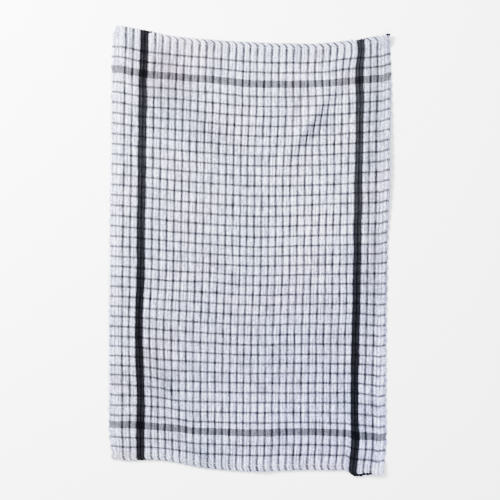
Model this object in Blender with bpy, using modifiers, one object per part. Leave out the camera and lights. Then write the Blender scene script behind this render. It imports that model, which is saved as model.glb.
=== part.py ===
# Tea towel: one woven cotton cloth, hemmed at both ends, lying face up on a flat surface.
# Metres, +Z up. The origin is on that surface, under the middle of the towel.
# +X runs across the cloth from the left selvedge to the right one, +Y along it to the upper hem.

import math
from collections import namedtuple

import bmesh
import bpy

TOWEL_WIDTH = 0.450      # selvedge to selvedge
TOWEL_LENGTH = 0.700     # fold of the upper hem to fold of the lower hem
CLOTH_THICKNESS = 0.0015
HEM_WIDTH = 0.011        # cloth turned under at each end
HEM_GAP = 0.0005         # air between the hem's two layers
HEM_EASE = 0.014         # past the hem, the face comes down to the surface over this length
COLUMNS = 36             # faces across the cloth
FACE_ROWS = 42           # faces along the cloth between the two hems
FOLD_STEPS = 5           # faces round the turn of a hem
EASE_STEPS = 3

CLOTH_COLOUR = (0.80, 0.80, 0.84, 1.0)
CLOTH_ROUGHNESS = 0.95

# The cloth hung from its upper corners before it was laid down, so its rows still sag.
# Each row of this table is one section: its distance below the upper fold, and how far the
# weft there has dropped at the left selvedge, the quarters, the middle and the right selvedge.
Sag = namedtuple("Sag", "along left quarter middle three_quarters right")
SAGS = (
    Sag(0.000, -0.014, 0.004, 0.011, 0.013, 0.002),
    Sag(0.033, -0.014, 0.001, 0.011, 0.012, 0.001),
    Sag(0.090, -0.013, 0.001, 0.011, 0.010, 0.001),
    Sag(0.220, -0.010, 0.002, 0.010, 0.009, 0.002),
    Sag(0.350, -0.007, 0.002, 0.010, 0.008, 0.005),
    Sag(0.480, -0.006, 0.001, 0.007, 0.006, 0.009),
    Sag(0.590, -0.010, 0.000, 0.003, 0.003, 0.009),
    Sag(0.675, -0.009, -0.003, 0.004, 0.004, 0.013),
    Sag(0.700, -0.013, -0.004, 0.005, 0.004, 0.009),
)

# How far the warp has moved to the right at each section, so the sides lean and wander a little.
Lean = namedtuple("Lean", "along left middle right")
LEANS = (
    Lean(0.000, 0.004, 0.005, 0.000),
    Lean(0.090, 0.001, 0.004, 0.003),
    Lean(0.200, 0.000, 0.001, 0.002),
    Lean(0.350, -0.002, -0.001, -0.003),
    Lean(0.500, -0.003, -0.005, -0.005),
    Lean(0.640, -0.003, -0.006, -0.005),
    Lean(0.700, 0.001, -0.006, -0.011),
)

# Places where the lower hem is drawn up or hangs down on its own.
Pull = namedtuple("Pull", "across along radius_across radius_along drop")
PULLS = (
    Pull(0.085, 0.700, 0.075, 0.060, -0.006),
    Pull(0.400, 0.700, 0.040, 0.050, 0.008),
)

# Soft folds that lift the cloth off the surface. Each is a long low swell with its middle at
# x, y of the laid towel, turned by degrees from +X, and fading to nothing at its ends and sides.
Swell = namedtuple("Swell", "x y turn half_length half_width height")
SWELLS = (
    Swell(-0.094, 0.208, -54, 0.120, 0.028, 0.006),     # drawn down from the upper left corner
    Swell(-0.020, 0.085, -45, 0.080, 0.030, 0.003),
    Swell(0.097, 0.208, 56, 0.110, 0.025, 0.007),       # drawn down from the upper right corner
    Swell(-0.137, -0.237, -64, 0.090, 0.022, 0.006),    # crease above the lower left corner
    Swell(-0.081, -0.317, -35, 0.050, 0.020, 0.004),
    Swell(0.228, 0.140, 90, 0.180, 0.020, 0.005),       # curling selvedges
    Swell(-0.228, -0.120, 90, 0.150, 0.018, 0.003),
    Swell(-0.222, 0.365, -50, 0.065, 0.024, 0.006),     # corners
    Swell(0.222, 0.350, 50, 0.060, 0.024, 0.005),
    Swell(0.185, -0.325, 125, 0.080, 0.028, 0.006),
    Swell(-0.070, 0.330, 85, 0.075, 0.025, 0.0035),     # ripples running in from the hems
    Swell(0.065, 0.325, 100, 0.075, 0.027, 0.004),
    Swell(0.020, -0.330, 92, 0.065, 0.030, 0.003),
    Swell(0.100, -0.140, 105, 0.110, 0.036, 0.003),
)


def smooth(t):
    t = min(max(t, 0.0), 1.0)
    return t * t * (3.0 - 2.0 * t)


def through(values, t):
    """Value at t (0 to 1) of a smooth curve through evenly spaced values."""
    last = len(values) - 1
    place = min(max(t, 0.0), 1.0) * last
    i = min(int(place), last - 1)
    f = place - i
    a = values[max(i - 1, 0)]
    b = values[i]
    c = values[i + 1]
    d = values[min(i + 2, last)]
    return b + 0.5 * f * (c - a + f * (2 * a - 5 * b + 4 * c - d + f * (3 * (b - c) + d - a)))


def section(table, along, across_fraction):
    """Read a table of sections at a place on the cloth, eased from one section to the next."""
    for upper, lower in zip(table, table[1:]):
        if along <= lower.along:
            break
    mix = smooth((along - upper.along) / (lower.along - upper.along))
    above = through(upper[1:], across_fraction)
    below = through(lower[1:], across_fraction)
    return above + mix * (below - above)


def hump(distance):
    """1 at distance 0, falling smoothly to 0 at distance 1 and beyond."""
    return math.cos(0.5 * math.pi * min(distance, 1.0)) ** 2


def drop_at(across, along):
    drop = section(SAGS, along, across / TOWEL_WIDTH)
    for pull in PULLS:
        reach = math.hypot(
            (across - pull.across) / pull.radius_across, (along - pull.along) / pull.radius_along
        )
        drop += pull.drop * hump(reach)
    return drop


def lift_at(x, y):
    """Height of the soft folds over a point of the surface."""
    lift = 0.0
    for swell in SWELLS:
        turn = math.radians(swell.turn)
        off_x = x - swell.x
        off_y = y - swell.y
        lengthwise = (off_x * math.cos(turn) + off_y * math.sin(turn)) / swell.half_length
        sideways = (off_y * math.cos(turn) - off_x * math.sin(turn)) / swell.half_width
        lift += swell.height * hump(math.hypot(lengthwise, sideways))
    return lift


def lay(across, along):
    """Where a point of the flat cloth lies: x, y and the height of its folds there."""
    x = across - 0.5 * TOWEL_WIDTH + section(LEANS, along, across / TOWEL_WIDTH)
    y = 0.5 * TOWEL_LENGTH - along - drop_at(across, along)
    return x, y, lift_at(x, y)


def hem_stations():
    """From the raw edge under the hem, round its fold, to where the face meets the surface.

    Each station is the distance from the fold and the height over the resting cloth.
    """
    turn = 0.5 * (CLOTH_THICKNESS + HEM_GAP)
    centre = 0.5 * CLOTH_THICKNESS + turn
    stations = [(HEM_WIDTH, 0.0)]
    for step in range(FOLD_STEPS + 1):
        angle = math.pi * (step / FOLD_STEPS - 0.5)
        stations.append((centre - turn * math.cos(angle), turn + turn * math.sin(angle)))
    for step in range(EASE_STEPS + 1):
        t = step / EASE_STEPS
        stations.append((HEM_WIDTH + t * HEM_EASE, 2.0 * turn * (1.0 - smooth(t))))
    return stations


def cloth_stations():
    """Distance below the upper fold and height over the resting cloth, raw edge to raw edge."""
    hem = hem_stations()
    start = hem[-1][0]
    step = (TOWEL_LENGTH - 2.0 * start) / FACE_ROWS
    face = [(start + step * row, 0.0) for row in range(1, FACE_ROWS)]
    lower_hem = [(TOWEL_LENGTH - along, height) for along, height in reversed(hem)]
    return hem + face + lower_hem


def make_material():
    material = bpy.data.materials.new("towel_cotton")
    material.use_nodes = True
    shader = material.node_tree.nodes["Principled BSDF"]
    shader.inputs["Base Color"].default_value = CLOTH_COLOUR
    shader.inputs["Roughness"].default_value = CLOTH_ROUGHNESS
    shader.inputs["Metallic"].default_value = 0.0
    material.diffuse_color = CLOTH_COLOUR
    return material


def make_towel(collection):
    """A grid shaped by the stations and the lie of the cloth, then given its thickness."""
    stations = cloth_stations()
    sheet = bmesh.new()
    bmesh.ops.create_grid(sheet, x_segments=COLUMNS, y_segments=len(stations) - 1, size=0.5)
    for vertex in sheet.verts:
        across = (vertex.co.x + 0.5) * TOWEL_WIDTH
        along, height = stations[round((0.5 - vertex.co.y) * (len(stations) - 1))]
        x, y, lift = lay(across, along)
        vertex.co = (x, y, 0.5 * CLOTH_THICKNESS + height + lift)
    centre_on_origin(sheet)
    mesh = bpy.data.meshes.new("towel")
    sheet.to_mesh(mesh)
    sheet.free()
    mesh.shade_smooth()
    mesh.materials.append(make_material())
    towel = bpy.data.objects.new("towel", mesh)
    collection.objects.link(towel)
    thickness = towel.modifiers.new("Thickness", "SOLIDIFY")
    thickness.thickness = CLOTH_THICKNESS
    thickness.offset = 0.0
    thickness.use_even_offset = True
    return towel


def centre_on_origin(sheet):
    """Move the sheet so that the middle of its outline stands over the origin."""
    xs = [vertex.co.x for vertex in sheet.verts]
    ys = [vertex.co.y for vertex in sheet.verts]
    middle = (-0.5 * (min(xs) + max(xs)), -0.5 * (min(ys) + max(ys)), 0.0)
    bmesh.ops.translate(sheet, verts=sheet.verts, vec=middle)


def main():
    for leftover in list(bpy.data.objects):
        bpy.data.objects.remove(leftover, do_unlink=True)
    collection = bpy.data.collections.new("tea_towel")
    bpy.context.scene.collection.children.link(collection)
    make_towel(collection)


main()
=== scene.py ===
import math

import bpy
import numpy as np
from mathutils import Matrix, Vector


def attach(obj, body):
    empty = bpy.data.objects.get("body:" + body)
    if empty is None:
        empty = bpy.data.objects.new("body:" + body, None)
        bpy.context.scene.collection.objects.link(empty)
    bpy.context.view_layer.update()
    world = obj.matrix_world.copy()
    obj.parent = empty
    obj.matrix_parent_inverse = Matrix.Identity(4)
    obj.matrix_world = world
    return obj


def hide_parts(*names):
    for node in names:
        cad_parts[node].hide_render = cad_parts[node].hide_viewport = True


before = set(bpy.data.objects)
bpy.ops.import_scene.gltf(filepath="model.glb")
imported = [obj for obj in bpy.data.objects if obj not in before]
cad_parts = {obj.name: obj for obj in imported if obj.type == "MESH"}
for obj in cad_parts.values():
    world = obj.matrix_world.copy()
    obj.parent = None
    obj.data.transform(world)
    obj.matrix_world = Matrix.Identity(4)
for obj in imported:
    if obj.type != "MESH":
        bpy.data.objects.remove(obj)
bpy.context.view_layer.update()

# The towel is worked out in flat-cloth terms: across, from the left selvedge, and along, from the
# fold of the upper hem. layOut() then says where each place on the cloth lies.
cloth = {
    "width": 0.450,
    "length": 0.700,
    "thickness": 0.0008,       # between the ribs' roots
    "ribHeight": 0.0009,       # face side, over the ground
    "backRibHeight": 0.00025,
    "ribFullness": 2.6,        # how square the ribs' backs are
    "hemRibShare": 0.4,        # what is left of the ribs where a hem presses them
    "ribReturn": 0.008,        # past the hem they rise again over this
    "edgeShare": 0.45,         # what is left of the thickness at the selvedges
    "edgeThinning": 0.0022,
    "layerPitch": 0.00135,     # one layer of a hem to the next
    "hemWidth": 0.0105,
    "tuckedEdge": 0.0036,      # the raw edge, inside the hem, from the fold
    "hemEase": 0.013,
    "scallop": 0.0010,         # how far the selvedge stands out between two rows
    "edgeSwell": 0.0006,       # and the folded edges between two dark ends
    "columnsPerRib": 6,
    "faceRows": 124,
}

# What the weaver's chart says. Warp first: dark ends every cell, two white ribs between them.
chart = {
    "cellWidth": 0.01164,      # one dark end to the next
    "darkEnds": 36,            # from the first thin line to the last
    "stripeCell": 2,           # cells in from the first dark end, on both sides
    "rowPitch": 0.0162,
    "headRow": 0.0336,         # first of the two rows above the upper band
    "headBand": 0.0686,
    "firstRow": 0.0892,
    "bodyRows": 34,
    "footBand": 0.6393,
    "footRow": 0.6606,
    "bandWidth": 0.0120,
}

# Sections down the towel: how far the weft has dropped at the left selvedge, the quarters, the
# middle and the right selvedge, and then how far the warp has moved to the right there.
sagAlong = [0.000, 0.033, 0.090, 0.220, 0.350, 0.480, 0.590, 0.675, 0.700]
sagDrop = [
    [-0.0140, 0.0048, 0.0130, 0.0152, 0.0028],
    [-0.0120, 0.0013, 0.0114, 0.0120, 0.0010],
    [-0.0115, 0.0010, 0.0116, 0.0105, 0.0025],
    [-0.0092, 0.0020, 0.0100, 0.0084, 0.0030],
    [-0.0065, 0.0025, 0.0100, 0.0080, 0.0061],
    [-0.0070, 0.0004, 0.0070, 0.0056, 0.0082],
    [-0.0106, -0.0010, 0.0035, 0.0030, 0.0090],
    [-0.0110, -0.0033, 0.0032, 0.0015, 0.0114],
    [-0.0130, -0.0040, 0.0050, 0.0030, 0.0080],
]
leanAlong = [0.000, 0.090, 0.200, 0.350, 0.500, 0.640, 0.700]
leanShift = [
    [0.0040, 0.0053, 0.0062, 0.0050, 0.0005],
    [0.0010, 0.0026, 0.0046, 0.0051, 0.0030],
    [0.0000, 0.0008, 0.0016, 0.0025, 0.0020],
    [-0.0020, -0.0011, 0.0000, -0.0005, -0.0030],
    [-0.0030, -0.0048, -0.0046, -0.0042, -0.0050],
    [-0.0030, -0.0041, -0.0057, -0.0047, -0.0050],
    [0.0000, -0.0026, -0.0060, -0.0068, -0.0094],
]

# The weft was beaten up unevenly: by how much its rows lie low, down the towel.
beatAlong = [
    0.085, 0.115, 0.150, 0.250, 0.287, 0.322, 0.358, 0.393, 0.429, 0.460, 0.475, 0.490, 0.507, 0.524,
    0.600, 0.640, 0.670,
]
beatDrop = [
    0.0, -0.0008, -0.0003, 0.0, 0.0004, 0.0010, -0.0004, -0.0010, -0.0004, 0.0002, 0.0008, 0.0002,
    0.0013, 0.0, 0.0, 0.0008, 0.0,
]

# Places where the cloth is drawn aside, up or down: across, along, the reach each way, and how
# far to the right and down.
pulls = [
    (0.085, 0.700, 0.075, 0.060, 0.0000, -0.0060),
    (0.420, 0.700, 0.050, 0.050, 0.0000, 0.0030),
    (0.404, 0.704, 0.024, 0.024, 0.0000, 0.0030),
    (0.058, 0.070, 0.045, 0.065, 0.0000, 0.0020),
    (0.425, 0.165, 0.040, 0.160, -0.0025, 0.0000),
    (0.350, 0.010, 0.075, 0.045, 0.0022, 0.0000),
    (0.391, 0.066, 0.035, 0.045, -0.0018, 0.0000),
    (0.289, 0.235, 0.055, 0.085, -0.0015, 0.0000),
    (0.391, 0.229, 0.050, 0.060, -0.0014, 0.0000),
    (0.071, 0.468, 0.055, 0.085, -0.0018, 0.0000),
    (0.194, 0.457, 0.050, 0.120, 0.0009, 0.0000),
    (0.373, 0.436, 0.045, 0.060, 0.0017, 0.0000),
    (0.051, 0.600, 0.055, 0.085, 0.0018, 0.0000),
    (0.415, 0.575, 0.045, 0.100, -0.0021, -0.0005),
    (0.303, 0.575, 0.060, 0.090, -0.0011, 0.0000),
    (0.366, 0.672, 0.028, 0.030, 0.0012, 0.0000),
    (0.390, 0.020, 0.045, 0.030, 0.0022, 0.0000),
    (0.115, 0.600, 0.030, 0.050, 0.0000, -0.0014),
    (0.010, 0.040, 0.035, 0.050, 0.0000, -0.0022),
    (0.047, 0.139, 0.050, 0.085, 0.0000, 0.0016),
    (0.168, 0.066, 0.055, 0.060, 0.0000, -0.0014),
    (0.372, 0.035, 0.045, 0.035, 0.0000, -0.0024),
    (0.352, 0.267, 0.085, 0.030, 0.0000, -0.0012),
    (0.080, 0.318, 0.110, 0.022, 0.0000, 0.0011),
    (0.095, 0.388, 0.075, 0.022, 0.0000, 0.0011),
    (0.240, 0.325, 0.055, 0.020, 0.0000, 0.0012),
    (0.163, 0.399, 0.045, 0.030, 0.0000, -0.0018),
    (0.399, 0.431, 0.040, 0.030, 0.0000, -0.0013),
    (0.402, 0.575, 0.035, 0.090, 0.0000, -0.0018),
    (0.310, 0.580, 0.060, 0.060, 0.0000, 0.0013),
    (0.110, 0.672, 0.070, 0.020, 0.0000, 0.0014),
    (0.320, 0.672, 0.060, 0.020, 0.0000, 0.0016),
    (0.415, 0.672, 0.030, 0.025, 0.0000, -0.0020),
    (0.012, 0.620, 0.030, 0.060, 0.0000, 0.0016),
    (0.000, 0.700, 0.030, 0.045, 0.0016, -0.0025),
    (0.008, 0.110, 0.030, 0.060, 0.0000, -0.0014),
    (0.395, 0.465, 0.040, 0.045, 0.0000, -0.0012),
    (0.380, 0.590, 0.025, 0.050, 0.0000, -0.0012),
    (0.385, 0.345, 0.040, 0.040, 0.0010, 0.0000),
]

# The warp was not threaded quite evenly either: how far it stands to the right.
reedAcross = [0.060, 0.125, 0.165, 0.205, 0.220]
reedShift = [0.0, 0.0, 0.0004, 0.0010, 0.0]

# Soft folds: x, y, turn in degrees from +X, half length, half width, height.
swells = [
    (-0.094, 0.208, -54, 0.120, 0.028, 0.006),
    (-0.020, 0.085, -45, 0.080, 0.030, 0.003),
    (0.097, 0.208, 56, 0.110, 0.025, 0.007),
    (-0.137, -0.237, -64, 0.090, 0.022, 0.006),
    (-0.081, -0.317, -35, 0.050, 0.020, 0.004),
    (0.228, 0.140, 90, 0.180, 0.020, 0.005),
    (-0.228, -0.120, 90, 0.150, 0.018, 0.003),
    (-0.222, 0.365, -50, 0.065, 0.024, 0.006),
    (0.222, 0.350, 50, 0.060, 0.024, 0.005),
    (0.185, -0.325, 125, 0.080, 0.028, 0.006),
    (-0.070, 0.330, 85, 0.075, 0.025, 0.0035),
    (0.065, 0.325, 100, 0.075, 0.027, 0.004),
    (0.020, -0.330, 92, 0.065, 0.030, 0.003),
    (0.100, -0.140, 105, 0.110, 0.036, 0.003),
    (-0.126, -0.235, -64, 0.080, 0.011, 0.0034),
    (-0.086, -0.315, -38, 0.045, 0.011, 0.0026),
    (-0.066, 0.172, -54, 0.090, 0.012, 0.0028),
    (0.090, 0.197, 57, 0.080, 0.011, 0.0030),
    (0.130, 0.262, -20, 0.040, 0.010, 0.0018),
]

# Creases that pull the check askew: across, along, turn in degrees from the weft, half length,
# half width, and how far they move the cloth on their right side, to the right and down.
creases = [
    (0.334, 0.124, 118, 0.110, 0.042, -0.0047, 0.000),
    (0.104, 0.598, 64, 0.100, 0.045, 0.000, 0.0042),
    (0.3925, 0.690, 90, 0.110, 0.020, 0.000, 0.0045),
]
creaseSharpness = 3.5

# What the edges do on their own. A pair is where it starts and over how far it comes in.
edgeLie = {
    "beatFrom": (0.12, 0.20),      # the uneven beat, in shares of the width
    "dipMiddle": 0.4375,           # the right selvedge strip dips here
    "dipReach": 0.0085,
    "dipReturn": (0.4440, 0.0060),
    "dipReturnShare": 0.7,
    "dipDepth": 0.0013,
    "dipBelow": (0.36, 0.12),
    "curlFrom": (0.966, 0.030),    # its edge curls upwards, in shares of the width
    "curlRise": 0.0030,
    "curlAbove": (0.42, 0.12),
    "swellReach": 0.007,
    "swellShare": (0.7, 0.3),      # the even part of the swells, and the part that comes and goes
    "swellPace": 217.0,
    "tuckReach": (0.012, 0.014),   # the tucked upper left corner, across and along
    "tuckMove": (0.0045, 0.0030),
    "scallopFrom": (11 / 12, 1 / 12),   # in shares of the half width
}


def ease(t):
    t = np.clip(t, 0.0, 1.0)
    return t * t * (3.0 - 2.0 * t)


def comingIn(place, stretch):
    # 0 before the stretch's start, 1 past its length
    start, length = stretch
    return ease((place - start) / length)


def hump(distance):
    # 1 in the middle, 0 from a distance of 1 on
    return np.cos(0.5 * math.pi * np.minimum(distance, 1.0)) ** 2


def through(values, t):
    # a smooth curve through evenly spaced values, read at t from 0 to 1
    values = np.asarray(values)
    last = len(values) - 1
    place = np.clip(t, 0.0, 1.0) * last
    i = np.minimum(place.astype(int), last - 1)
    f = place - i
    a = values[np.maximum(i - 1, 0)]
    b = values[i]
    c = values[i + 1]
    d = values[np.minimum(i + 2, last)]
    return b + 0.5 * f * (c - a + f * (2 * a - 5 * b + 4 * c - d + f * (3 * (b - c) + d - a)))


def section(alongs, rows, along, fraction):
    # read between the rows of a table, each a curve over the width
    value = through(rows[0], fraction)
    for i in range(len(alongs) - 1):
        mix = ease((along - alongs[i]) / (alongs[i + 1] - alongs[i]))
        value = value + mix * (through(rows[i + 1], fraction) - through(rows[i], fraction))
    return value


# Each hem was fed askew: how far its warp stands to the right of the warp in the towel, by the
# distance from the fold, at the upper end and at the lower one.
twistFrom = [0.0, 0.0024, 0.0058, 0.0150, 0.0320]
headTwist = [-0.0062, -0.0028, 0.0006, 0.0002, 0.0]
footTwist = [0.0016, 0.0002, -0.0009, -0.0006, 0.0]
twistLie = {
    "edgeEase": 0.020,         # no twist at the selvedges
    "headFrom": (0.070, 0.020),
    "stripeHalf": 0.006,       # the right stripe stays straight in the upper hem
    "stripeEase": 0.008,
    "stripeHold": 1.25,
}


def hemTwist(across, along):
    inside = ease(np.minimum(across, cloth["width"] - across) / twistLie["edgeEase"])
    rightStripe = stripeMiddles()[1]
    fromStripe = np.maximum(np.abs(across - rightStripe) - twistLie["stripeHalf"], 0.0)
    straight = hump(fromStripe / twistLie["stripeEase"])
    head = np.interp(along, twistFrom, headTwist) * comingIn(across, twistLie["headFrom"])
    head = head * (1.0 - twistLie["stripeHold"] * straight)
    foot = np.interp(cloth["length"] - along, twistFrom, footTwist)
    return (head + foot) * inside


def layOut(across, along):
    # where the cloth lies: x, y and the height of its folds there
    fraction = across / cloth["width"]
    drop = section(sagAlong, sagDrop, along, fraction)
    beat = np.interp(along, beatAlong, beatDrop)
    drop = drop + beat * comingIn(fraction, edgeLie["beatFrom"])
    # the right selvedge strip dips between the last dark end and the edge, in the lower half
    dip = hump(np.abs(across - edgeLie["dipMiddle"]) / edgeLie["dipReach"])
    dip = dip - edgeLie["dipReturnShare"] * comingIn(across, edgeLie["dipReturn"])
    drop = drop + edgeLie["dipDepth"] * dip * comingIn(along, edgeLie["dipBelow"])
    # and its edge curls upwards in the upper half
    above, over = edgeLie["curlAbove"]
    curl = comingIn(fraction, edgeLie["curlFrom"]) * ease((above - along) / over)
    drop = drop - edgeLie["curlRise"] * curl
    # between two dark ends the pile swells the folded edges
    cell = 2.0 * math.pi * (across - 0.5 * cloth["width"]) / chart["cellWidth"]
    even, changing = edgeLie["swellShare"]
    swell = cloth["edgeSwell"] * np.cos(cell) * (even + changing * np.sin(edgeLie["swellPace"] * across))
    atHead = ease(1.0 - along / edgeLie["swellReach"])
    atFoot = ease(1.0 - (cloth["length"] - along) / edgeLie["swellReach"])
    drop = drop - swell * (atHead - atFoot)
    x = across - 0.5 * cloth["width"] + section(leanAlong, leanShift, along, fraction)
    x = x + np.interp(across, reedAcross, reedShift)
    for pullAcross, pullAlong, reachAcross, reachAlong, pullRight, pullDown in pulls:
        reach = np.hypot((across - pullAcross) / reachAcross, (along - pullAlong) / reachAlong)
        x = x + pullRight * hump(reach)
        drop = drop + pullDown * hump(reach)
    for midAcross, midAlong, turn, halfLength, halfWidth, shiftX, shiftDown in creases:
        c = math.cos(math.radians(turn))
        s = math.sin(math.radians(turn))
        lengthwise = ((across - midAcross) * c + (along - midAlong) * s) / halfLength
        sideways = ((across - midAcross) * s - (along - midAlong) * c) / halfWidth
        askew = np.tanh(creaseSharpness * sideways) - np.tanh(sideways)
        askew = askew * hump(np.abs(lengthwise))
        x = x + shiftX * askew
        drop = drop + shiftDown * askew
    x = x + hemTwist(across, along)
    # the upper left corner is tucked in
    tuckAcross, tuckAlong = edgeLie["tuckReach"]
    tuck = ease(1.0 - across / tuckAcross) * ease(1.0 - along / tuckAlong)
    x = x + edgeLie["tuckMove"][0] * tuck
    drop = drop + edgeLie["tuckMove"][1] * tuck
    # the selvedges stand out between two rows
    sideward = 2.0 * fraction - 1.0
    edgeward = sideward * comingIn(np.abs(sideward), edgeLie["scallopFrom"])
    betweenRows = np.cos(2.0 * math.pi * (along - chart["firstRow"]) / chart["rowPitch"])
    x = x - edgeward * cloth["scallop"] * betweenRows
    y = 0.5 * cloth["length"] - along - drop
    lift = np.zeros_like(x)
    for midX, midY, turn, halfLength, halfWidth, height in swells:
        c = math.cos(math.radians(turn))
        s = math.sin(math.radians(turn))
        lengthwise = ((x - midX) * c + (y - midY) * s) / halfLength
        sideways = ((y - midY) * c - (x - midX) * s) / halfWidth
        lift = lift + height * hump(np.hypot(lengthwise, sideways))
    return x, y, lift


def hemPath():
    # the middle of the cloth through a double-turned hem, from the raw edge inside it round to
    # where the face reaches the surface: distance from the fold, and height
    s = cloth["layerPitch"]
    half = 0.5 * cloth["thickness"]
    inner = cloth["hemWidth"] - 0.5 * s
    outer = half + s
    path = [(cloth["tuckedEdge"] + k * (inner - cloth["tuckedEdge"]) / 3, s) for k in range(3)]
    for k in range(5):
        turn = math.pi * k / 4
        path.append((inner + 0.5 * s * math.sin(turn), 0.5 * s + 0.5 * s * math.cos(turn)))
    path += [(inner + k * (outer - inner) / 3, 0.0) for k in (1, 2)]
    for k in range(9):
        turn = math.pi * k / 8
        path.append((outer - s * math.sin(turn), s - s * math.cos(turn)))
    path += [(outer + k * (cloth["hemWidth"] - outer) / 4, 2 * s) for k in range(1, 5)]
    for k in range(1, 7):
        path.append((cloth["hemWidth"] + k * cloth["hemEase"] / 6, 2 * s * (1 - float(ease(k / 6)))))
    return path


def clothPath():
    hem = hemPath()
    start = hem[-1][0]
    step = (cloth["length"] - 2 * start) / cloth["faceRows"]
    face = [(start + step * k, 0.0) for k in range(1, cloth["faceRows"])]
    return hem + face + [(cloth["length"] - along, height) for along, height in reversed(hem)]


def ribRelief(across):
    # height of the pile ribs, two to a cell: round backs, with a narrow groove at every dark end
    ribWidth = 0.5 * chart["cellWidth"]
    phase = (across - 0.5 * cloth["width"]) / ribWidth + 0.5
    inRib = 2.0 * np.abs(phase - np.floor(phase) - 0.5)
    return np.sqrt(np.maximum(1.0 - inRib ** cloth["ribFullness"], 0.0))


def clothColumns():
    # across-positions of the face, and one a rib for the back
    perRib = cloth["columnsPerRib"]
    ribWidth = 0.5 * chart["cellWidth"]
    half = int(0.5 * cloth["width"] / ribWidth) * perRib
    face = 0.5 * cloth["width"] + ribWidth / perRib * np.arange(-half, half + 1)
    face[0] = 0.0
    face[-1] = cloth["width"]
    return face, face[::perRib]


def restHeight():
    # the middle of the lowest layer, with its pressed ribs on the table
    return 0.5 * cloth["thickness"] + cloth["hemRibShare"] * cloth["ribHeight"]


def clothPoint(across, path, side):
    # a skin of the cloth: side 1 is the face, side -1 the back
    along = np.array([p[0] for p in path])
    height = np.array([p[1] for p in path])
    runAlong = np.gradient(along)
    runHeight = np.gradient(height)
    length = np.hypot(runAlong, runHeight)
    normalAlong = -runHeight / length
    normalUp = runAlong / length
    rib = cloth["ribHeight"] if side > 0 else cloth["backRibHeight"]
    relief = ribRelief(across)
    edge = np.minimum(across, cloth["width"] - across)
    thinnest = cloth["edgeShare"]
    thin = thinnest + (1 - thinnest) * ease(edge / cloth["edgeThinning"])
    fromFold = np.minimum(along, cloth["length"] - along)
    pastHem = ease((fromFold - cloth["hemWidth"]) / cloth["ribReturn"])
    free = np.maximum(pastHem, np.abs(normalAlong))
    pressed = cloth["hemRibShare"] + (1 - cloth["hemRibShare"]) * free
    acrossGrid, alongGrid = np.meshgrid(across, along)
    offGrid = side * (0.5 * cloth["thickness"] + rib * relief * pressed[:, None]) * thin
    alongGrid = alongGrid + normalAlong[:, None] * offGrid
    x, y, lift = layOut(acrossGrid, alongGrid)
    z = restHeight() + height[:, None] + normalUp[:, None] * offGrid + lift
    return np.stack([x, y, z], axis=-1)


def makeTowel():
    path = clothPath()
    faceAcross, backAcross = clothColumns()
    # every row is one ring: over the face from left to right, then under it and back
    face = clothPoint(faceAcross, path, 1)
    back = clothPoint(backAcross[::-1], path, -1)
    rings = np.concatenate([face, back], axis=1)
    ringAcross = np.concatenate([faceAcross, backAcross[::-1]])
    rows, count = rings.shape[:2]
    # distance along the cut cloth, so that the pattern runs on round the hems
    ringAlong = patternAlong(path)
    faces = []
    for r in range(rows - 1):
        for c in range(count):
            d = (c + 1) % count
            faces.append((r * count + c, (r + 1) * count + c, (r + 1) * count + d, r * count + d))
    last = len(faceAcross) - 1
    perRib = cloth["columnsPerRib"]
    for r, flip in ((0, False), (rows - 1, True)):
        for k in range(0, last, perRib):
            under = count - 1 - k // perRib
            cap = [r * count + k + m for m in range(perRib + 1)]
            cap += [r * count + under - 1, r * count + under]
            faces.append(tuple(reversed(cap)) if flip else tuple(cap))
    mesh = bpy.data.meshes.new("towelCloth")
    mesh.from_pydata(rings.reshape(-1, 3).tolist(), [], faces)
    weave = mesh.uv_layers.new(name="weave")
    vertex = np.zeros(len(mesh.loops), dtype=np.int64)
    mesh.loops.foreach_get("vertex_index", vertex)
    uv = np.stack([ringAcross[vertex % count], ringAlong[vertex // count]], axis=-1)
    weave.data.foreach_set("uv", uv.astype(np.float32).ravel())
    mesh.shade_smooth()
    towel = bpy.data.objects.new("towelCloth", mesh)
    bpy.context.scene.collection.objects.link(towel)
    return towel


def patternAlong(path):
    # length of cloth from the upper fold, negative inside the upper hem
    along = np.array([p[0] for p in path])
    height = np.array([p[1] for p in path])
    steps = np.hypot(np.diff(along), np.diff(height))
    length = np.concatenate([[0.0], np.cumsum(steps)])
    onFace = (along > 2 * cloth["hemWidth"]) & (along < 0.5 * cloth["length"])
    k = int(np.argmax(onFace))
    fromTop = length - length[k] + along[k]
    mirrored = length[-1] - length
    fromFoot = cloth["length"] - (mirrored - length[k] + along[k])
    blend = ease((along - 0.2) / 0.3)
    middle = np.where(np.arange(len(path)) < k, 0.0, blend)
    middle = np.where(np.arange(len(path)) > len(path) - 1 - k, 1.0, middle)
    return fromTop * (1 - middle) + fromFoot * middle


# Shader maths: a wrapped socket, so that patterns read as plain expressions.
class Wire:
    def __init__(self, net, socket):
        self.net = net
        self.socket = socket

    def __add__(self, other):
        return self.net.maths("ADD", self, other)

    def __sub__(self, other):
        return self.net.maths("SUBTRACT", self, other)

    def __rsub__(self, other):
        return self.net.maths("SUBTRACT", other, self)

    def __mul__(self, other):
        return self.net.maths("MULTIPLY", self, other)

    def __truediv__(self, other):
        return self.net.maths("DIVIDE", self, other)

    def __gt__(self, other):
        return self.net.maths("GREATER_THAN", self, other)

    def __lt__(self, other):
        return self.net.maths("LESS_THAN", self, other)


class Graph:
    def __init__(self, tree):
        self.tree = tree

    def node(self, kind, settings=None, sockets=None, output=0):
        made = self.tree.nodes.new(kind)
        for name, value in (settings or {}).items():
            setattr(made, name, value)
        for name, value in (sockets or {}).items():
            self.join(value, made.inputs[name])
        return Wire(self, made.outputs[output])

    def join(self, value, socket):
        if isinstance(value, Wire):
            self.tree.links.new(value.socket, socket)
        else:
            socket.default_value = value

    def maths(self, operation, *values):
        return self.node("ShaderNodeMath", {"operation": operation}, dict(enumerate(values)))


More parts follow.
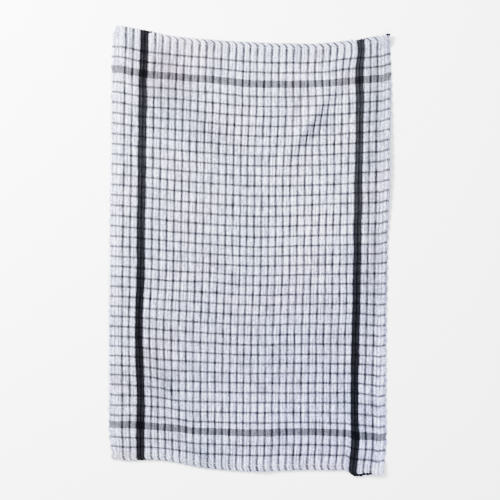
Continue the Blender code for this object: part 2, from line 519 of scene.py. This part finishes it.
class Net(Graph):
    def __init__(self, name):
        self.material = bpy.data.materials.new(name)
        self.material.use_nodes = True
        super().__init__(self.material.node_tree)
        self.shader = self.tree.nodes["Principled BSDF"]

    def edge(self, value, low, high):
        # 0 below low, 1 above high, eased between
        settings = {"interpolation_type": "SMOOTHSTEP"}
        return self.node(
            "ShaderNodeMapRange", settings, {"Value": value, "From Min": low, "From Max": high}
        )

    def noise(self, vector, scale=1.0, detail=2.0, roughness=0.6):
        sockets = {"Vector": vector, "Scale": scale, "Detail": detail, "Roughness": roughness}
        return self.node("ShaderNodeTexNoise", None, sockets)

    def patch(self, x, y, place):
        # a soft oval, as deep as asked in its middle
        midX, midY, reachX, reachY, depth = place
        away = self.vector((x - midX) / reachX, (y - midY) / reachY)
        far = self.node("ShaderNodeVectorMath", {"operation": "LENGTH"}, {0: away}, 1)
        return self.edge(far, 1.0, 0.0) * depth

    def split(self, vector):
        return [self.node("ShaderNodeSeparateXYZ", None, {0: vector}, k) for k in (0, 1)]

    def vector(self, x, y, z=0.0):
        return self.node("ShaderNodeCombineXYZ", None, {"X": x, "Y": y, "Z": z})


class Recipe(Graph):
    # a Geometry Nodes tree: takes a path and named sizes, gives one realized mesh
    def __init__(self, name, sizes, material):
        super().__init__(bpy.data.node_groups.new(name, "GeometryNodeTree"))
        self.material = material
        sockets = self.tree.interface
        sockets.new_socket("Path", in_out="INPUT", socket_type="NodeSocketGeometry")
        self.sizes = {}
        for title, value in sizes.items():
            made = sockets.new_socket(title, in_out="INPUT", socket_type="NodeSocketFloat")
            self.sizes[made.identifier] = value
        sockets.new_socket("Result", in_out="OUTPUT", socket_type="NodeSocketGeometry")
        self.given = self.tree.nodes.new("NodeGroupInput")
        self.path = self.take("Path")

    def take(self, title):
        return Wire(self, self.given.outputs[title])

    def point(self, x, y, z):
        return self.node("ShaderNodeCombineXYZ", None, {"X": x, "Y": y, "Z": z})

    def thread(self, start, middle, end, steps, radius):
        # a round thread bent over three points
        ends = {"Resolution": steps, "Start": start, "Middle": middle, "End": end}
        bent = self.node("GeometryNodeCurveQuadraticBezier", None, ends)
        around = {"Resolution": 6, "Radius": radius}
        ring = self.node("GeometryNodeCurvePrimitiveCircle", None, around)
        sockets = {"Curve": bent, "Profile Curve": ring, "Fill Caps": True}
        return self.node("GeometryNodeCurveToMesh", None, sockets)

    def repeat(self, pitch, shape, uneven, seed):
        # the shape at every pitch along the path, its x lengthwise, each a little different
        line = self.node("GeometryNodeMeshToCurve", None, {"Mesh": self.path})
        sockets = {"Curve": line, "Length": pitch}
        stops = self.node("GeometryNodeResampleCurve", {"mode": "LENGTH"}, sockets)
        heading = self.node("GeometryNodeInputTangent")
        turn = self.node("FunctionNodeAlignRotationToVector", {"axis": "X"}, {"Vector": heading})
        limits = {"Min": [1 - v for v in uneven], "Max": [1 + v for v in uneven], "Seed": seed}
        spread = self.node("FunctionNodeRandomValue", {"data_type": "FLOAT_VECTOR"}, limits)
        placed = {"Points": stops, "Instance": shape, "Rotation": turn, "Scale": spread}
        many = self.node("GeometryNodeInstanceOnPoints", None, placed)
        plain = self.node("GeometryNodeRealizeInstances", None, {"Geometry": many})
        smooth = self.node("GeometryNodeSetShadeSmooth", None, {"Geometry": plain})
        done = {"Geometry": smooth, "Material": self.material}
        last = self.node("GeometryNodeSetMaterial", None, done)
        result = self.tree.nodes.new("NodeGroupOutput")
        self.tree.links.new(last.socket, result.inputs[0])

    def run(self, name, paths):
        # paths: lists of points, each one an open line
        points = [tuple(point) for path in paths for point in path]
        edges = []
        first = 0
        for path in paths:
            edges += [(first + k, first + k + 1) for k in range(len(path) - 1)]
            first += len(path)
        mesh = bpy.data.meshes.new(name + "Path")
        mesh.from_pydata(points, edges, [])
        piece = bpy.data.objects.new(name, mesh)
        bpy.context.scene.collection.objects.link(piece)
        modifier = piece.modifiers.new(name, "NODES")
        modifier.node_group = self.tree
        for identifier, value in self.sizes.items():
            modifier[identifier] = value
        seen = piece.evaluated_get(bpy.context.evaluated_depsgraph_get())
        made = bpy.data.meshes.new_from_object(seen)
        piece.modifiers.clear()
        piece.data = made
        made.name = name
        return piece


# Tones run from 0, black, to 1, white, evenly to the eye; depths are what a feature takes off. A
# pair of depths is the least and the most. A pair of places is where it begins and where it is whole.
cottonLook = {
    "white": 0.896,
    "endReach": 0.0037,        # a dark end's soft half width
    "endDepth": (0.145, 0.36),
    "endInBand": 0.07,         # how much deeper it is in a grey band
    "endInHem": 0.07,          # and where the upper hem draws the cloth together
    "hemReach": (0.024, 0.012),
    "pickReach": 0.0030,
    "pickDepth": (0.155, 0.28),
    # painted shade in the groove between two ribs: its half width, and its least and most depth
    "grooveReach": 0.0016,
    "grooveShadeDepth": (0.02, 0.14),
    "gapEdges": (0.30, 0.75),
    "gapShadeDepth": 0.10,          # painted shade between two loops of the pile, painted light on their tops
    "speckle": 0.22,
    "streak": 0.26,
    "warpWander": 0.0011,      # how far the yarns stray from the chart's lines
    "weftWander": 0.0013,
    "warpWanderFineness": 55.0,
    "weftWanderFineness": 48.0,
    "headBandDepth": 0.192,
    "footBandDepth": 0.202,
    "rightDepth": 0.046,       # the right selvedge is greyer, as far down as rightUntil
    "rightFrom": (0.38, 0.43),
    "rightUntil": (0.52, 0.36),
    "footDepth": 0.026,        # the lower half is a little deeper and bluer
    "footFrom": (0.10, 0.62),
    "toneLimits": (0.05, 0.945),
    "redShift": (-0.010, 0.002),
    "blueShift": 0.033,
    "footBlue": 0.022,
    "footBlueFrom": (0.20, 0.66),
    "rightBlueFrom": (-0.06, 0.34),
    "footFoldBlue": 0.013,     # taken off again at the lower fold
    "footFoldReach": (0.011, 0.009),
    "roughness": 0.92,
    "gloss": 0.02,
    "loopWidth": 0.0014,
    "loopLength": 0.0019,
    "loopHeight": 0.0009,
    "loopScatter": 0.8,
    "reliefStrength": 0.8,
    "fluffShare": 0.5,
    "pickSink": 0.5,
    "endSink": 0.4,
}

# The black of the side stripes, and where the turned-in layer shows it at the folds.
blackLook = {
    "tone": 0.230,
    "upperLighter": 0.095,             # lighter in the upper half
    "upperLighterFrom": (0.50, 0.14),
    # painted shade in the grooves of the black pile
    "grooveShadeDepth": 0.17,
    "unevenShare": 1.15,       # how much of the speckle the black shows
    "pickDepth": 0.10,
    "bandDepth": 0.14,
    "spread": 0.0002,          # past its cell, on both sides
    "foldShow": 0.0030,
    "headPast": 0.0055,        # to the right of the left stripe, at the upper fold
    "footBefore": 0.002,       # round the right stripe, at the lower one
    "footPast": 0.0290,
    "corner": 0.0065,          # and at the upper right corner
}

# How fine each unevenness is: cells to a metre across and along, and which layer of noise.
fineness = {
    "surfacing": (170.0, 32.0, 0.0),   # of the dark ends through the pile
    "covering": (130.0, 130.0, 5.0),   # of the picks by the pile
    "parting": (90.0, 60.0, 9.0),      # of the ribs
    "loops": (620.0, 520.0, 0.0),
    "streaks": (330.0, 24.0, 2.0),
    "wash": (11.0, 11.0, 0.0),
    "fluff": (1400.0, 1200.0, 0.0),
}

# Soft patches: across, along, the reach each way, and depth. One where the cloth is rosier, then
# the darker and lighter ones of the black, and the painted shade and painted light of the folds on the
# check.
rosy = (0.090, 0.048, 0.100, 0.090, 0.018)
blacks = [
    (0.050, 0.000, 0.080, 0.200, 0.105),
    (0.050, 0.470, 0.080, 0.130, 0.033),
    (0.400, 0.210, 0.080, 0.300, -0.055),
]
# painted shade of the folds where the depth is positive, painted light where it is negative
paintedShading = [
    (0.088, 0.095, 0.070, 0.090, 0.050),
    (0.074, 0.055, 0.070, 0.060, 0.040),
    (0.157, 0.160, 0.070, 0.060, 0.026),
    (0.385, 0.130, 0.030, 0.080, -0.020),
    (0.078, 0.560, 0.035, 0.090, 0.045),
    (0.340, 0.290, 0.160, 0.150, -0.028),
    (0.230, 0.610, 0.240, 0.060, -0.026),
    (0.300, 0.050, 0.110, 0.050, -0.022),
]


def lines(net, place, start, pitch, reach):
    # soft lines at every pitch from start, 1 on the line, 0 from reach on
    core = 0.0003
    away = net.maths("PINGPONG", place - (start - pitch), 0.5 * pitch)
    return 1.0 - net.edge(away, core, reach)


def within(net, place, low, high):
    soft = 0.0005
    return net.edge(place, low - soft, low + soft) * (1.0 - net.edge(place, high - soft, high + soft))


def grain(net, across, along, name, *quality):
    # noise as fine as its name says
    perAcross, perAlong, layer = fineness[name]
    return net.noise(net.vector(across * perAcross, along * perAlong, layer), 1.0, *quality)


def varied(net, limits, amount):
    # amount, mostly 0.3 to 0.7, spread over the limits
    low, high = limits
    return net.edge(amount, 0.30, 0.70) * (high - low) + low


def stripeMiddles():
    # one whole cell of black at each side
    span = (chart["darkEnds"] - 1) * chart["cellWidth"]
    inner = 0.5 * span - (chart["stripeCell"] + 0.5) * chart["cellWidth"]
    return 0.5 * cloth["width"] - inner, 0.5 * cloth["width"] + inner


def cottonTone(net, across, along, pile):
    look = cottonLook
    wander = net.noise(net.vector(across, along), look["warpWanderFineness"], 1.0) - 0.5
    drift = net.noise(net.vector(across, along, 3.1), look["weftWanderFineness"], 1.0) - 0.5
    warp = across + wander * look["warpWander"]
    weft = along + drift * look["weftWander"]
    cell = chart["cellWidth"]
    rib = 0.5 * cell
    firstEnd = 0.5 * cloth["width"] - 0.5 * (chart["darkEnds"] - 1) * cell
    lastEnd = firstEnd + (chart["darkEnds"] - 1) * cell

    # dark ends, fainter where the white pile closes over them
    ends = lines(net, warp, firstEnd, cell, look["endReach"])
    ends = ends * within(net, across, firstEnd - 0.3 * cell, lastEnd + 0.3 * cell)
    endDepth = varied(net, look["endDepth"], grain(net, across, along, "surfacing"))

    # dark picks: two at each end of the towel, and the rows of its body
    pitch = chart["rowPitch"]
    runs = [
        (chart["headRow"], 2),
        (chart["firstRow"], chart["bodyRows"]),
        (chart["footRow"], 2),
    ]
    picks = 0.0
    for start, count in runs:
        stretch = within(net, weft, start - 0.45 * pitch, start + (count - 0.55) * pitch)
        picks = lines(net, weft, start, pitch, look["pickReach"]) * stretch + picks
    pickDepth = varied(net, look["pickDepth"], grain(net, across, along, "covering"))

    # painted shade in the groove between the two ribs of a cell, streaks along the pile, and single
    # loops with painted shade between them
    grooveShade = lines(net, warp, firstEnd + rib, rib, look["grooveReach"])
    grooveShadeDepth = varied(net, look["grooveShadeDepth"], grain(net, across, along, "parting"))
    loops = grain(net, across, along, "loops") - 0.5
    # painted shade between the loops, painted light on their tops
    gapShade = net.edge(pile, *look["gapEdges"]) - 0.5
    streaks = grain(net, across, along, "streaks") - 0.5
    headBand = within(net, weft, *bandEdges(chart["headBand"]))
    footBand = within(net, weft, *bandEdges(chart["footBand"]))
    uneven = loops * look["speckle"] + streaks * look["streak"] - gapShade * look["gapShadeDepth"]
    bands = headBand + footBand
    # the dark ends also show deeper in the painted shade between the loops
    endDepth = endDepth + bands * look["endInBand"] + gapShade * look["gapShadeDepth"] * 0.5
    endDepth = endDepth + net.edge(along, *look["hemReach"]) * look["endInHem"]

    check = uneven - grooveShade * grooveShadeDepth - ends * endDepth - picks * pickDepth + look["white"]
    check = check - headBand * look["headBandDepth"] - footBand * look["footBandDepth"]
    check = check - net.edge(along, *look["footFrom"]) * look["footDepth"]
    upper = net.edge(along, *look["rightUntil"])
    check = check - net.edge(across, *look["rightFrom"]) * upper * look["rightDepth"]
    # painted fold shade, and painted light where a depth is negative
    for shade in paintedShading:
        check = check - net.patch(across, along, shade)

    dark = blackLook
    leftStripe, rightStripe = stripeMiddles()
    half = 0.5 * cell + dark["spread"]
    stripes = within(net, warp, leftStripe - half, leftStripe + half)
    stripes = stripes + within(net, warp, rightStripe - half, rightStripe + half)
    # the turned-in layer shows its stripe beside the face's at two of the folds
    headFold = along < dark["foldShow"]
    footFold = along > cloth["length"] - dark["foldShow"]
    turned = headFold * within(net, warp, leftStripe, leftStripe + half + dark["headPast"])
    footStart = rightStripe - half - dark["footBefore"]
    turned = footFold * within(net, warp, footStart, rightStripe + dark["footPast"]) + turned
    corner = headFold * (across > cloth["width"] - dark["corner"])
    stripes = net.maths("MAXIMUM", net.maths("MAXIMUM", stripes, turned), corner)
    # the black is lighter in its upper half, darker in the patches of blacks with a positive depth and
    # lighter in the one with a negative depth
    stripeTone = net.edge(along, *dark["upperLighterFrom"]) * dark["upperLighter"] + dark["tone"]
    for patch in blacks:
        stripeTone = stripeTone - net.patch(across, along, patch)
    # the black takes painted shade in its grooves too
    black = uneven * dark["unevenShare"] - grooveShade * dark["grooveShadeDepth"] + stripeTone
    black = black - picks * dark["pickDepth"] - bands * dark["bandDepth"]
    tone = check + stripes * (black - check)
    lowest, highest = look["toneLimits"]
    limited = net.node("ShaderNodeClamp", None, {"Value": tone, "Min": lowest, "Max": highest})
    return limited, picks, ends


def bandEdges(place):
    half = 0.5 * chart["bandWidth"]
    return place - half, place + half


# The share of light that a tone gives back: that of the middle tone, and how steeply it climbs.
lightOf = {"middle": 0.026, "climb": 1.38, "ceiling": 0.928}


def givenBack(net, tone):
    tone = net.maths("MINIMUM", tone, lightOf["ceiling"])
    return net.maths("POWER", tone / (1.0 - tone), lightOf["climb"]) * lightOf["middle"]


def makeCotton():
    net = Net("checkCotton")
    look = cottonLook
    across, along = net.split(net.node("ShaderNodeUVMap", {"uv_map": "weave"}))
    # loops of pile, each a rounded cell
    loopPlace = net.vector(across / look["loopWidth"], along / look["loopLength"])
    scattered = {"Vector": loopPlace, "Scale": 1.0, "Randomness": look["loopScatter"]}
    pile = net.node("ShaderNodeTexVoronoi", None, scattered)
    tone, picks, ends = cottonTone(net, across, along, pile)
    wash = grain(net, across, along, "wash", 1.0)
    bluer = net.edge(along, *look["footBlueFrom"]) * net.edge(across, *look["rightBlueFrom"])
    blueShift = bluer * look["footBlue"] + look["blueShift"]
    foldStart, foldEnd = [cloth["length"] - reach for reach in look["footFoldReach"]]
    blueShift = blueShift - net.edge(along, foldStart, foldEnd) * look["footFoldBlue"]
    redShift = varied(net, look["redShift"], wash) + net.patch(across, along, rosy)
    channels = {
        "Red": givenBack(net, tone + redShift),
        "Green": givenBack(net, tone),
        "Blue": givenBack(net, tone + blueShift),
    }
    net.join(net.node("ShaderNodeCombineColor", None, channels), net.shader.inputs["Base Color"])
    net.shader.inputs["Roughness"].default_value = look["roughness"]
    net.shader.inputs["Specular IOR Level"].default_value = look["gloss"]

    # relief: the loops and their fluff, with the picks and dark ends sunk between them
    fluff = grain(net, across, along, "fluff", 3.0, 0.7)
    relief = fluff * look["fluffShare"] - pile * pile
    relief = relief - picks * look["pickSink"] - ends * look["endSink"]
    strength = look["reliefStrength"]
    heights = {"Height": relief, "Strength": strength, "Distance": look["loopHeight"]}
    bump = net.node("ShaderNodeBump", None, heights)
    net.join(bump, net.shader.inputs["Normal"])
    return net.material


# The white thread of the seams and of the weft where it turns at the selvedges.
thread = {
    "colour": (0.45, 0.465, 0.56, 1.0),
    "roughness": 0.85,
    "gloss": 0.15,
    "twistFineness": 2600.0,
    "twistStrength": 0.5,
    "twistHeight": 0.0002,
    "seamRadius": 0.00028,
    "stitchPitch": 0.0031,
    "stitchLength": 0.0027,
    "stitchRise": 0.00045,
    "stitchUneven": (0.10, 0.10, 0.20),
    "stitchSeed": 4,
    "stitchSink": 0.25,        # how far the seam lies in the pressed ribs
    "seamFrom": 0.0088,        # the seam, from the fold
    "seamInset": 0.003,        # and its ends, from the selvedges
    "stripeGap": 0.75,         # how much of a cell is left out on both sides of a stripe's middle
    "turnRadius": 0.00026,
    "turnPitch": 0.00140,
    "turnWidth": 0.00105,
    "turnReach": 0.00110,
    "turnFoot": -0.5,          # a turn's foot and its bend, in shares of its reach
    "turnBend": 1.6,
    "turnUneven": (0.15, 0.35, 0.15),
    "turnSeed": 9,
    "turnsFrom": 0.012,        # the first turn, from the fold
    "rowGap": 0.0012,          # left out on both sides of a dark pick
}


def makeThread():
    net = Net("cottonThread")
    net.shader.inputs["Base Color"].default_value = thread["colour"]
    net.shader.inputs["Roughness"].default_value = thread["roughness"]
    net.shader.inputs["Specular IOR Level"].default_value = thread["gloss"]
    place = net.node("ShaderNodeTexCoord", output=3)
    twist = net.noise(place, thread["twistFineness"])
    strength = thread["twistStrength"]
    heights = {"Height": twist, "Strength": strength, "Distance": thread["twistHeight"]}
    bump = net.node("ShaderNodeBump", None, heights)
    net.join(bump, net.shader.inputs["Normal"])
    return net.material


def makeSeams(material):
    sizes = {
        "Stitch pitch": thread["stitchPitch"],
        "Stitch length": thread["stitchLength"],
        "Rise": thread["stitchRise"],
        "Thread radius": thread["seamRadius"],
    }
    recipe = Recipe("seamStitches", sizes, material)
    halfLength = recipe.take("Stitch length") * 0.5
    rise = recipe.take("Rise")
    start = recipe.point(0.0 - halfLength, 0.0, 0.0 - rise)
    end = recipe.point(halfLength, 0.0, 0.0 - rise)
    shape = recipe.thread(start, recipe.point(0.0, 0.0, rise), end, 5, recipe.take("Thread radius"))
    pitch = recipe.take("Stitch pitch")
    recipe.repeat(pitch, shape, thread["stitchUneven"], thread["stitchSeed"])
    paths = []
    left, right = stripeMiddles()
    half = thread["stripeGap"] * chart["cellWidth"]
    # the black pile closes over the seams
    inset = thread["seamInset"]
    edges = [inset, left - half, left + half, right - half, right + half, cloth["width"] - inset]
    for k in range(6):
        along = thread["seamFrom"] if k < 3 else cloth["length"] - thread["seamFrom"]
        across = np.linspace(edges[2 * (k % 3)], edges[2 * (k % 3) + 1], 120)
        x, y, lift = layOut(across, np.full_like(across, along))
        z = lift + restHeight() + 2 * cloth["layerPitch"] + 0.5 * cloth["thickness"]
        z = z + (1 - thread["stitchSink"]) * cloth["hemRibShare"] * cloth["ribHeight"]
        paths.append(np.stack([x, y, z], axis=-1))
    return recipe.run("hemStitches", paths)


def makeTurns(material):
    # where each weft yarn turns back at the selvedges, left out where the dark picks come
    sizes = {
        "Turn pitch": thread["turnPitch"],
        "Turn width": thread["turnWidth"],
        "Turn reach": thread["turnReach"],
        "Yarn radius": thread["turnRadius"],
    }
    recipe = Recipe("selvedgeTurns", sizes, material)
    halfWidth = recipe.take("Turn width") * 0.5
    reach = recipe.take("Turn reach")
    foot = reach * thread["turnFoot"]
    start = recipe.point(0.0 - halfWidth, foot, 0.0)
    end = recipe.point(halfWidth, foot, 0.0)
    bend = recipe.point(0.0, reach * thread["turnBend"], 0.0)
    shape = recipe.thread(start, bend, end, 5, recipe.take("Yarn radius"))
    pitch = recipe.take("Turn pitch")
    recipe.repeat(pitch, shape, thread["turnUneven"], thread["turnSeed"])
    rows = [chart["headRow"] + chart["rowPitch"] * k for k in range(2)]
    rows += [chart["firstRow"] + chart["rowPitch"] * k for k in range(chart["bodyRows"])]
    rows += [chart["footRow"] + chart["rowPitch"] * k for k in range(2)]
    first = thread["turnsFrom"]
    last = cloth["length"] - first
    stops = [first] + rows + [last]
    stops = [row for row in stops if first <= row <= last]
    paths = []
    for side in (0.0, cloth["width"]):
        for upper, lower in zip(stops[:-1], stops[1:]):
            along = np.linspace(upper + thread["rowGap"], lower - thread["rowGap"], 9)
            if side == 0.0:
                along = along[::-1]
            x, y, lift = layOut(np.full_like(along, side), along)
            paths.append(np.stack([x, y, lift + restHeight()], axis=-1))
    return recipe.run("selvedgeTurns", paths)


# The floor, the sky, the lights and the camera straight above. A light: its name, place, size,
# power and colour.
studio = {
    "floorSize": 6.0,
    "floorColour": (0.94, 0.94, 0.945, 1.0),
    "floorRoughness": 0.8,
    "skyColour": (0.93, 0.95, 1.0, 1.0),
    "skyStrength": 2.4,
    "lights": [
        ("key", (-1.3, 1.1, 1.3), 0.8, 400, (1.0, 0.99, 0.97)),
        ("fill", (1.6, -0.8, 2.0), 1.6, 45, (0.95, 0.97, 1.0)),
    ],
    "metresAcross": 0.8075,    # what the camera takes in
    "distance": 2.4,
    "rise": 0.0016,
    "sensor": 0.036,
}


def makeFloor():
    mesh = bpy.data.meshes.new("floor")
    size = studio["floorSize"]
    corners = [(-size, -size, 0.0), (size, -size, 0.0), (size, size, 0.0), (-size, size, 0.0)]
    mesh.from_pydata(corners, [], [(0, 1, 2, 3)])
    floor = bpy.data.objects.new("floor", mesh)
    bpy.context.scene.collection.objects.link(floor)
    net = Net("paleFloor")
    net.shader.inputs["Base Color"].default_value = studio["floorColour"]
    net.shader.inputs["Roughness"].default_value = studio["floorRoughness"]
    mesh.materials.append(net.material)


def areaLight(name, place, size, power, colour):
    data = bpy.data.lights.new(name, "AREA")
    data.shape = "SQUARE"
    data.size = size
    data.energy = power
    data.color = colour
    light = bpy.data.objects.new(name, data)
    light.location = place
    light.rotation_euler = (-Vector(place)).to_track_quat("-Z", "Y").to_euler()
    bpy.context.scene.collection.objects.link(light)


def makeStudio():
    world = bpy.data.worlds.new("studio")
    world.use_nodes = True
    background = world.node_tree.nodes["Background"]
    background.inputs["Color"].default_value = studio["skyColour"]
    background.inputs["Strength"].default_value = studio["skyStrength"]
    bpy.context.scene.world = world
    for light in studio["lights"]:
        areaLight(*light)
    data = bpy.data.cameras.new("camera")
    data.sensor_width = studio["sensor"] * 1000
    data.lens = studio["sensor"] * studio["distance"] / studio["metresAcross"] * 1000
    camera = bpy.data.objects.new("camera", data)
    camera.location = (0.0, studio["rise"], studio["distance"])
    bpy.context.scene.collection.objects.link(camera)
    bpy.context.scene.camera = camera


print("studio")
makeStudio()
makeFloor()

print("towel")
towel = makeTowel()
towel.data.materials.append(makeCotton())

print("seams and selvedges")
cottonThread = makeThread()
threadwork = [makeSeams(cottonThread), makeTurns(cottonThread)]

for piece in [towel] + threadwork:
    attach(piece, "root")
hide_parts("towel")
